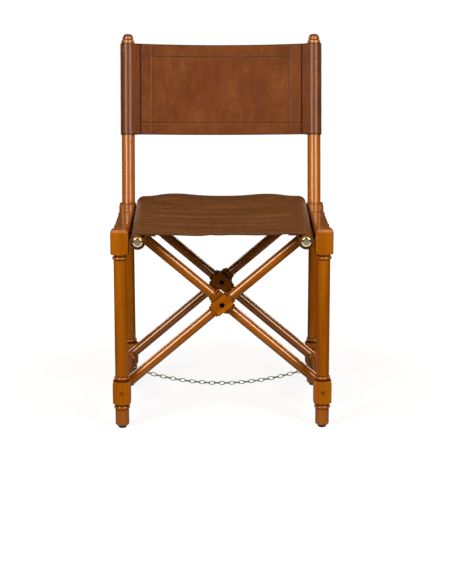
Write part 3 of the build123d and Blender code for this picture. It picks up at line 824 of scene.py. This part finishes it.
def back_stitch_lines():
    """Lines of stitching down both sides of the panel and along its hems, each with its normals."""
    lines = []
    for sign in (-1, 1):
        for x in (sign * (PANEL_HALF - BORDER), sign * (PANEL_HALF - SIDE_INSET)):
            top = panel_ends(x)[1]
            points = []
            for k in range(25):
                up = STITCH_INSET + (top - 2 * STITCH_INSET) * k / 24
                out = PANEL_THICK + panel_relief(x, up, top) + panel_drape(x, up / top)
                points.append(back_point(x, up, out))
            lines.append(points)
    for at_bottom in (True, False):
        points = []
        for k in range(41):
            x = (-1 + 2 * k / 40) * (PANEL_HALF - ROW_INSET)
            bottom, top = panel_ends(x)
            up = bottom + BORDER if at_bottom else top - BORDER
            height = top - bottom
            share = (up - bottom) / height
            out = PANEL_THICK + panel_relief(x, up - bottom, height) + panel_drape(x, share)
            points.append(back_point(x, up, out))
        lines.append(points)
    return [(points, [BACK_OUT] * len(points)) for points in lines]


TAIL_INSET = 0.0012            # from the end of the leather's middle line to the tail's end
TAIL_HALF = 0.0017             # half of the distance between the middles of the tail's two plies
TAIL_ROUND = 0.001
RIPPLE, FINE_RIPPLE = 0.00010, 0.00006
SLEEVE_LEVELS = 40


def between(start, end, share):
    """Point at a share of the way from one point to another."""
    return tuple(a + (b - a) * share for a, b in zip(start, end))


def sleeve_outline(side):
    """Middle line of a back sleeve, round the post and on as a flat doubled tail, as (x, out) points."""
    r = BACK_SLEEVE_R - BACK_HIDE / 2
    tip = BACK_TAIL - TAIL_INSET
    turn = math.acos((r - TAIL_HALF) / tip)
    angles = [turn + (2 * math.pi - 2 * turn) * k / 56 for k in range(57)]
    circle = [(r * math.cos(a), r * math.sin(a)) for a in angles]
    tail_top = (tip - TAIL_ROUND, -TAIL_HALF)
    tail_low = (tip - TAIL_ROUND, TAIL_HALF)
    lead = [between(circle[-1], tail_top, k / 6) for k in range(1, 7)]
    start = [between(tail_low, circle[0], k / 6) for k in range(0, 6)]
    return [(-side * x, out) for x, out in start + circle + lead]


def make_back_sleeve(name, side):
    outline = sleeve_outline(side)
    edge = DARK_EDGE / back_height
    levels = [k / SLEEVE_LEVELS for k in range(1, SLEEVE_LEVELS)]
    levels = [0.0, edge] + levels + [1 - edge, 1.0]
    rows = []
    for x, out in outline:
        row = []
        for v in levels:
            ripple = RIPPLE * math.sin(v * 23 + x * 60) + FINE_RIPPLE * math.sin(v * 51 + out * 90)
            grow = 1 + ripple / BACK_SLEEVE_R
            row.append(back_point(side * POST_X + x * grow, back_height * v, out * grow))
        rows.append(row)
    normals = sheet_normals(rows)
    if side < 0:
        normals = [[-n for n in line] for line in normals]
    mats = [sleeve_leather, edge_dark, pale_edge_and_highlight_leather]
    sleeve = thick_sheet("back_sleeve_" + name + "_hide", rows, normals, BACK_HIDE, mats)
    for face in sleeve.data.polygons:
        centre = face.center - back_point(side * POST_X, 0, 0)
        up = centre.dot(POST_DIR)
        if min(up, back_height - up) < DARK_EDGE:
            face.material_index = 1
        # paler band at the end of the tail
        elif -side * centre.x > BACK_TAIL - DARK_EDGE:
            face.material_index = 2
    return sleeve, grid_size(rows)


# build the soft pieces

seat, seat_flat = make_seat()
cut_holes(seat)
smooth(seat, 40)
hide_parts("seat_panel", "seat_sleeve_left", "seat_sleeve_right")
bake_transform(seat)

panel = make_back_panel()
smooth(panel, 40)
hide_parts("back_panel", "back_border")
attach(panel, "left_frame")

panel_stitches = stitches("back_stitches", back_stitch_lines())
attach(panel_stitches, "left_frame")

for side_name, side in SIDES:
    hide, hide_flat = make_back_sleeve(side_name, side)
    smooth(hide, 40)
    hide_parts("back_sleeve_" + side_name)
    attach(hide, side_name + "_frame")

chain = bpy.data.objects.new("brass_chain", NODES["chain"].data.copy())
bpy.context.scene.collection.objects.link(chain)
paint(chain, brass_old)
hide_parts("chain")
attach(chain, "left_frame")

for obj, half_width in ((panel, PANEL_HALF), (panel_stitches, PANEL_HALF), (chain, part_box("chain")[1].x)):
    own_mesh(obj)


# floor, lights and camera

class StudioLevel(Graph):
    """Brightness of the world or floor, told apart for the camera, reflections and plain light."""

    def __init__(self, tree):
        super().__init__(tree)
        self.path = self.add("ShaderNodeLightPath")

    def fade(self, source, low, high, to_low, to_high):
        return self.spread(source, low, high, to_low, to_high, "SMOOTHSTEP")

    def level(self, seen, glossy, other):
        """seen for camera and transmission rays, glossy for reflections, other for all the rest."""
        rays = self.path.outputs
        camera = self.math("MAXIMUM", rays["Is Camera Ray"], rays["Is Transmission Ray"])
        unseen = self.math("SUBTRACT", 1.0, camera)
        mirror = self.math("MULTIPLY", rays["Is Glossy Ray"], unseen)
        rest = self.math("SUBTRACT", unseen, mirror)
        total = self.math("ADD", self.math("MULTIPLY", camera, seen), self.math("MULTIPLY", mirror, glossy))
        return self.math("ADD", total, self.math("MULTIPLY", rest, other))


WORLD_LIGHT = 0.06
HORIZON_SHINE = 0.05
DARK_SHINE = 0.0
BAND_LOW, BAND_HIGH = 0.10, 0.35       # upward part of a direction where the horizon's shine fades

world = bpy.data.worlds.new("studio")
bpy.context.scene.world = world
world.use_nodes = True
background = world.node_tree.nodes["Background"]
background.inputs["Color"].default_value = (1, 1, 1, 1)
studio = StudioLevel(world.node_tree)
way_parts = studio.add("ShaderNodeSeparateXYZ")
studio.link(studio.add("ShaderNodeTexCoord").outputs["Generated"], way_parts.inputs["Vector"])
band = studio.fade(way_parts.outputs["Z"], BAND_LOW, BAND_HIGH, HORIZON_SHINE, DARK_SHINE)
studio.link(studio.level(1.0, band, WORLD_LIGHT), background.inputs["Strength"])

# the floor is white to the camera, keeps a soft shadow round the chair, and shines in reflections near it
FLOOR_SIZE = 14
FLOOR_GREY = 0.24
FLOOR_NEAR = 0.84                      # what the camera sees under the chair, growing to white
NEAR_END, WHITE_START = 0.45, 1.1      # distances from the middle, like the two pairs below
SHINE = 0.16                           # brightness in the reflections of lacquer and leather
SHINE_FULL, SHINE_END = 0.34, 0.50
PAPER = 0.95                           # and in those of polished brass
PAPER_FULL, PAPER_END = 1.00, 1.70

bpy.ops.mesh.primitive_plane_add(size=FLOOR_SIZE, location=(0, 0, 0))
floor = bpy.context.object
floor.name = "floor"
floor_mat, floor_shader = new_material("pale_floor")
floor_shader.inputs["Base Color"].default_value = (FLOOR_GREY, FLOOR_GREY, FLOOR_GREY, 1)
floor_shader.inputs["Roughness"].default_value = 0.9
floor_shader.inputs["Specular IOR Level"].default_value = 0.0
floor_shader.inputs["Emission Color"].default_value = (1, 1, 1, 1)
ground = StudioLevel(floor_mat.node_tree)
from_middle = ground.add("ShaderNodeVectorMath", operation="LENGTH")
ground.link(ground.coords(), from_middle.inputs[0])
distance = from_middle.outputs["Value"]
seen = ground.fade(distance, NEAR_END, WHITE_START, FLOOR_NEAR, 1.0)
ground.link(ground.level(seen, 0.0, 0.0), floor_shader.inputs["Emission Strength"])

# polished brass shows white paper round the chair, lacquer and leather only a dim shine close to it
sharp = ground.path.outputs["Is Singular Ray"]
shine = ground.fade(distance, SHINE_FULL, SHINE_END, SHINE, 0.0)
paper = ground.fade(distance, PAPER_FULL, PAPER_END, PAPER, 0.0)
polished = ground.math("ADD", shine, ground.math("MULTIPLY", sharp, ground.math("SUBTRACT", paper, shine)))
glow = ground.add("ShaderNodeEmission")
ground.link(polished, glow.inputs["Strength"])
mirror_mix = ground.add("ShaderNodeMixShader")
ground.link(ground.level(0.0, 1.0, 0.0), mirror_mix.inputs[0])
ground.link(floor_shader.outputs["BSDF"], mirror_mix.inputs[1])
ground.link(glow.outputs["Emission"], mirror_mix.inputs[2])
ground.link(mirror_mix.outputs["Shader"], ground.nodes["Material Output"].inputs["Surface"])
floor.data.materials.append(floor_mat)


LAMP_COLOUR = (1.0, 0.93, 0.82)


def softbox(name, place, target, size, power):
    light = bpy.data.lights.new(name, "AREA")
    light.shape = "RECTANGLE"
    light.size, light.size_y = size
    light.energy = power
    light.color = LAMP_COLOUR
    obj = bpy.data.objects.new(name, light)
    bpy.context.scene.collection.objects.link(obj)
    obj.location = place
    obj.rotation_euler = (Vector(target) - Vector(place)).to_track_quat("-Z", "Y").to_euler()


SEAT_TARGET = (0, 0, 0.45)
KEY_SIZE = (0.95, 2.2)
REAR_SIZE = (0.5, 1.2)
REAR_POWER = 17

softbox("key_left", (-1.6, -2.1, 1.85), SEAT_TARGET, KEY_SIZE, 58)
softbox("key_right", (1.6, -2.1, 1.80), SEAT_TARGET, KEY_SIZE, 53)
softbox("top", (0, -1.0, 2.8), (0, 0, 0.4), (2.4, 1.6), 10)
softbox("rear_left", (-2.0, 2.2, 1.6), SEAT_TARGET, REAR_SIZE, REAR_POWER)
softbox("rear_right", (2.0, 2.2, 1.6), SEAT_TARGET, REAR_SIZE, REAR_POWER)

# camera fitted to the photograph
CAMERA_X = -0.0125
CAMERA_Z = 1.0946
CAMERA_BEFORE = 3.450                  # in front of the front legs
SENSOR = 36.0
FOCAL_PX = 1586.5
LONG_SIDE_PX = 567
PITCH_DOWN = math.radians(12.45)
YAW_RIGHT = math.radians(0.7056)
camera_data = bpy.data.cameras.new("camera")
camera_data.lens = FOCAL_PX * SENSOR / LONG_SIDE_PX
camera = bpy.data.objects.new("camera", camera_data)
bpy.context.scene.collection.objects.link(camera)
camera.location = (CAMERA_X, FRONT_LEG_Y - CAMERA_BEFORE, CAMERA_Z)
camera.rotation_euler = (math.pi / 2 - PITCH_DOWN, 0, -YAW_RIGHT)
bpy.context.scene.camera = camera

bpy.context.scene.view_settings.view_transform = "Standard"
